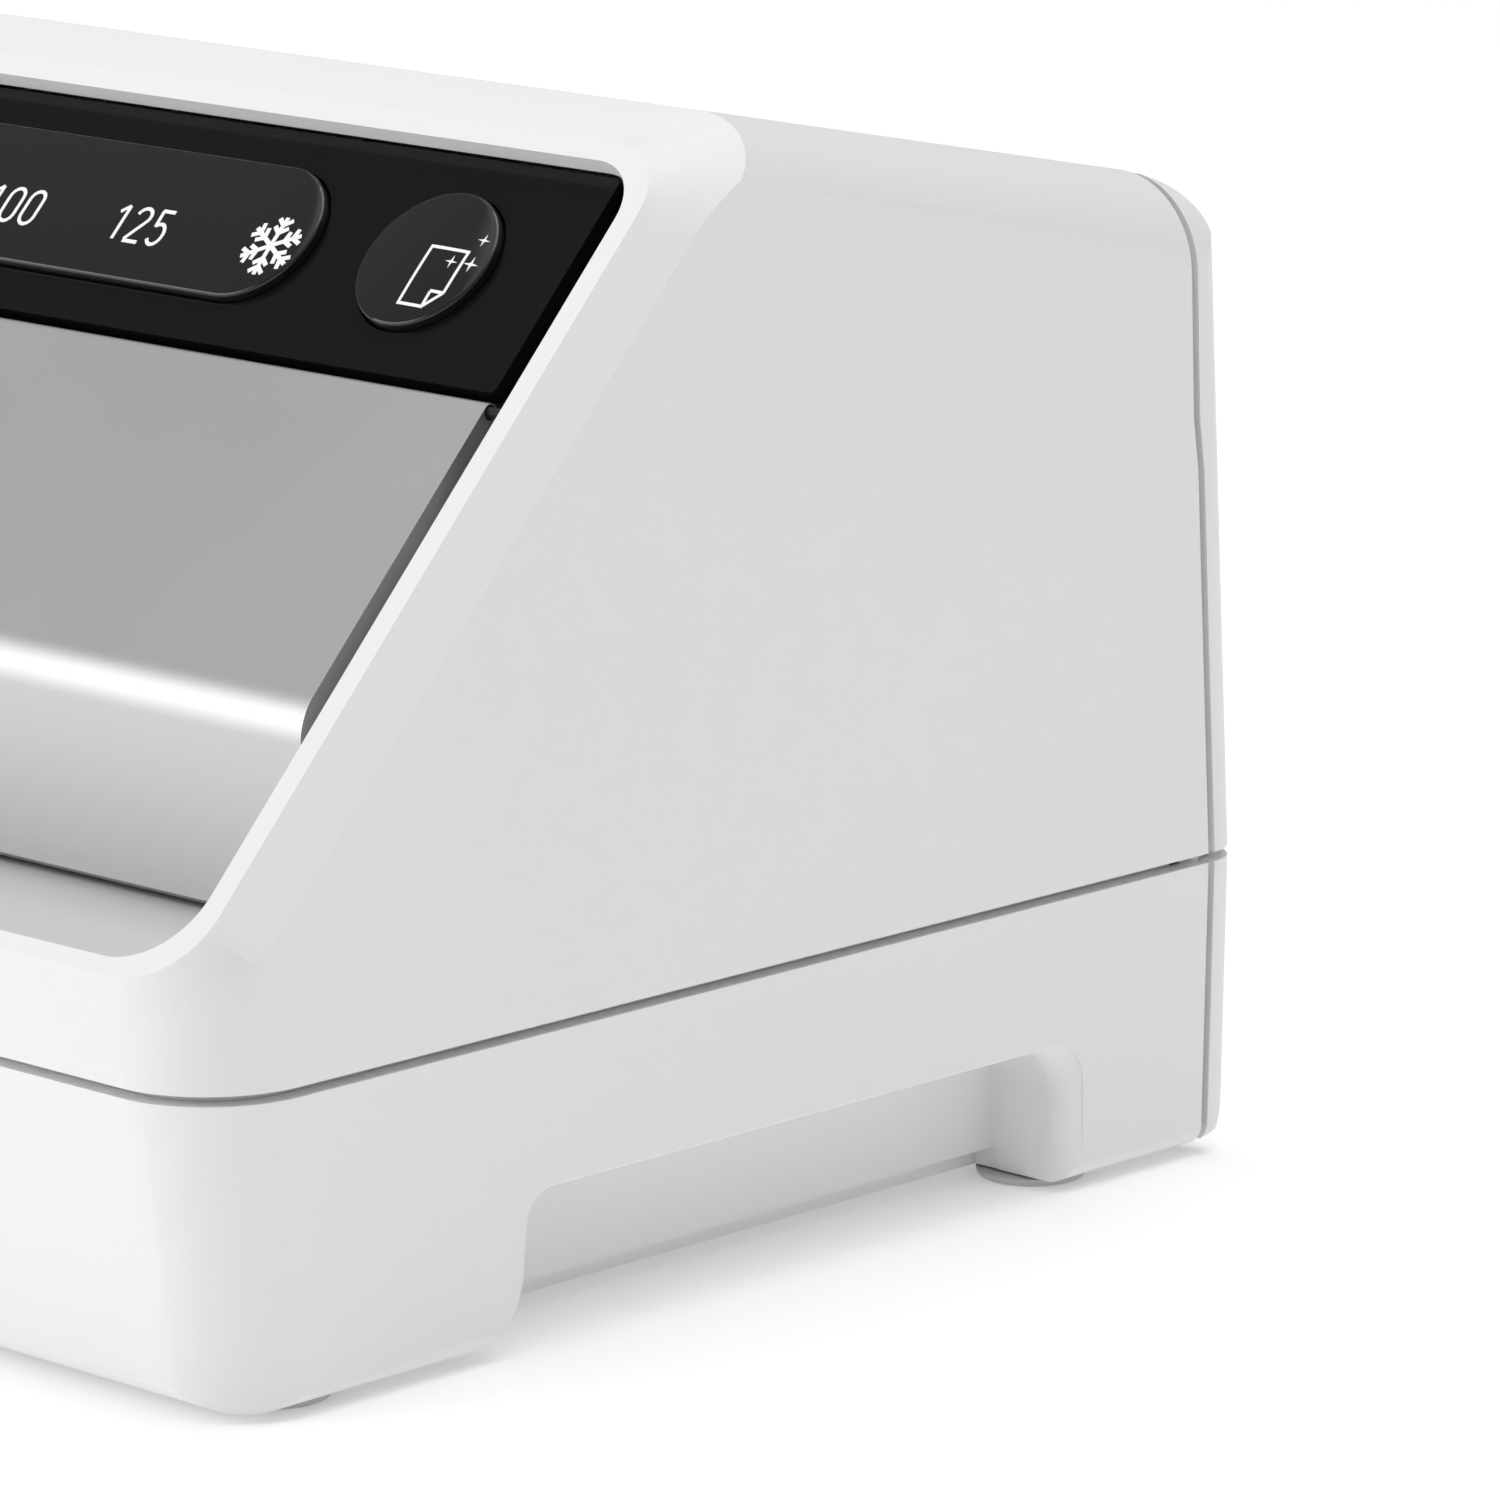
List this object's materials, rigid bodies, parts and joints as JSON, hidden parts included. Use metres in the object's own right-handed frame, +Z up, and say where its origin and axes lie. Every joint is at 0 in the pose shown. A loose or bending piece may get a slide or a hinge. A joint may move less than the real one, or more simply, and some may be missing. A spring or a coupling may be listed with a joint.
{
  "type": "pouch laminator",
  "caption": "Desktop pouch laminator with a sloped front, key panel, hinged entry cover over a wide feed slot, driven heated rollers and hand grips in its base.",
  "frame": {"origin": "on the table, under the middle of the bounding box", "axes": "+X to the right seen from the front and along the width, +Y to the rear, +Z up; the sloped front faces -Y"},
  "size_m": [0.43, 0.1826, 0.1406],
  "materials": {
    "white_housing": "satin",
    "cover_silver": "satin",
    "black_panel": "gloss",
    "key_black": "gloss",
    "dark_plastic": "matte",
    "steel": "brushed",
    "aluminium": "satin",
    "silicone": "matte",
    "gear_plastic": "satin",
    "board_green": "satin",
    "bronze": "satin",
    "foot_rubber": "matte"
  },
  "bodies": {
    "chassis": {"upper_housing": "white_housing", "lower_housing": "white_housing", "rear_cover_upper": "white_housing", "rear_cover_lower": "white_housing", "feed_table": "white_housing", "control_panel": "black_panel", "key_board": "board_green", "main_board": "board_green", "cover_pin_left": "steel", "cover_pin_right": "steel", "chassis_plate_left": "steel", "chassis_plate_right": "steel", "idler_stub": "steel", "motor": "steel", "motor_bracket": "steel", "pressure_spring_right": "steel", "spring_seat_right": "steel", "hot_roller_lower_bush_left": "bronze", "hot_roller_lower_bush_right": "bronze", "hot_roller_upper_bush_left": "bronze", "hot_roller_upper_bush_right": "bronze", "exit_roller_lower_bush_left": "bronze", "exit_roller_lower_bush_right": "bronze", "exit_roller_upper_bush_left": "bronze", "exit_roller_upper_bush_right": "bronze", "heater_shoe_upper": "aluminium", "heater_shoe_lower": "aluminium", "heating_element_upper": "bronze", "heating_element_lower": "bronze", "thermal_cutout": "dark_plastic", "exit_guide_upper": "dark_plastic", "exit_guide_lower": "dark_plastic", "power_inlet": "dark_plastic", "foot_front_left": "foot_rubber", "case_screw_front_left": "steel", "foot_front_right": "foot_rubber", "case_screw_front_right": "steel", "foot_rear_left": "foot_rubber", "case_screw_rear_left": "steel", "foot_rear_right": "foot_rubber", "case_screw_rear_right": "steel"},
    "mode_key": {"mode_key": "key_black"},
    "clean_key": {"clean_key": "key_black"},
    "power_key": {"power_key": "key_black"},
    "entry_cover": {"entry_cover": "cover_silver"},
    "idler": {"idler_gear": "gear_plastic"},
    "pinion": {"motor_pinion": "bronze"},
    "hot_roller_lower": {"hot_roller_lower_sleeve": "silicone", "hot_roller_lower_shaft": "steel", "hot_roller_lower_gear": "gear_plastic"},
    "hot_roller_upper": {"hot_roller_upper_sleeve": "silicone", "hot_roller_upper_shaft": "steel", "hot_roller_upper_gear": "gear_plastic"},
    "exit_roller_lower": {"exit_roller_lower_sleeve": "silicone", "exit_roller_lower_shaft": "steel", "exit_roller_lower_gear": "gear_plastic"},
    "exit_roller_upper": {"exit_roller_upper_sleeve": "silicone", "exit_roller_upper_shaft": "steel", "exit_roller_upper_gear": "gear_plastic"}
  },
  "joints": [
    {"name": "mode_key_press", "type": "slide", "parent": "chassis", "child": "mode_key", "axis": [0, 0.7071, -0.7071], "range_m": [0, 0.0008], "stiffness_N_per_m": 900, "springref_m": -0.0004},
    {"name": "clean_key_press", "type": "slide", "parent": "chassis", "child": "clean_key", "axis": [0, 0.7071, -0.7071], "range_m": [0, 0.0008], "stiffness_N_per_m": 900, "springref_m": -0.0004},
    {"name": "power_key_press", "type": "slide", "parent": "chassis", "child": "power_key", "axis": [0, 0.7071, -0.7071], "range_m": [0, 0.0008], "stiffness_N_per_m": 900, "springref_m": -0.0004},
    {"name": "entry_cover_hinge", "type": "hinge", "parent": "chassis", "child": "entry_cover", "pos_m": [0, -0.02924, 0.10837], "axis": [-1, 0, 0], "range_deg": [0, 35]},
    {"name": "hot_roller_lower_spin", "type": "hinge", "parent": "chassis", "child": "hot_roller_lower", "pos_m": [0, -0.03325, 0.0399], "axis": [1, 0, 0], "continuous": true},
    {"name": "hot_roller_upper_spin", "type": "hinge", "parent": "chassis", "child": "hot_roller_upper", "pos_m": [0, -0.03325, 0.0643], "axis": [1, 0, 0], "continuous": true},
    {"name": "exit_roller_lower_spin", "type": "hinge", "parent": "chassis", "child": "exit_roller_lower", "pos_m": [0, 0.02975, 0.04193], "axis": [1, 0, 0], "continuous": true},
    {"name": "exit_roller_upper_spin", "type": "hinge", "parent": "chassis", "child": "exit_roller_upper", "pos_m": [0, 0.02975, 0.06227], "axis": [1, 0, 0], "continuous": true},
    {"name": "idler_spin", "type": "hinge", "parent": "chassis", "child": "idler", "pos_m": [0, -0.00073, 0.04095], "axis": [1, 0, 0], "continuous": true},
    {"name": "pinion_spin", "type": "hinge", "parent": "chassis", "child": "pinion", "pos_m": [0, 0.01796, 0.02226], "axis": [1, 0, 0], "continuous": true}
  ],
  "couplings": [
    {"joint": "hot_roller_upper_spin", "follows": "hot_roller_lower_spin", "ratio": -1},
    {"joint": "idler_spin", "follows": "hot_roller_lower_spin", "ratio": -0.6},
    {"joint": "exit_roller_lower_spin", "follows": "hot_roller_lower_spin", "ratio": 1.2},
    {"joint": "exit_roller_upper_spin", "follows": "hot_roller_lower_spin", "ratio": -1.2},
    {"joint": "pinion_spin", "follows": "hot_roller_lower_spin", "ratio": 2}
  ]
}
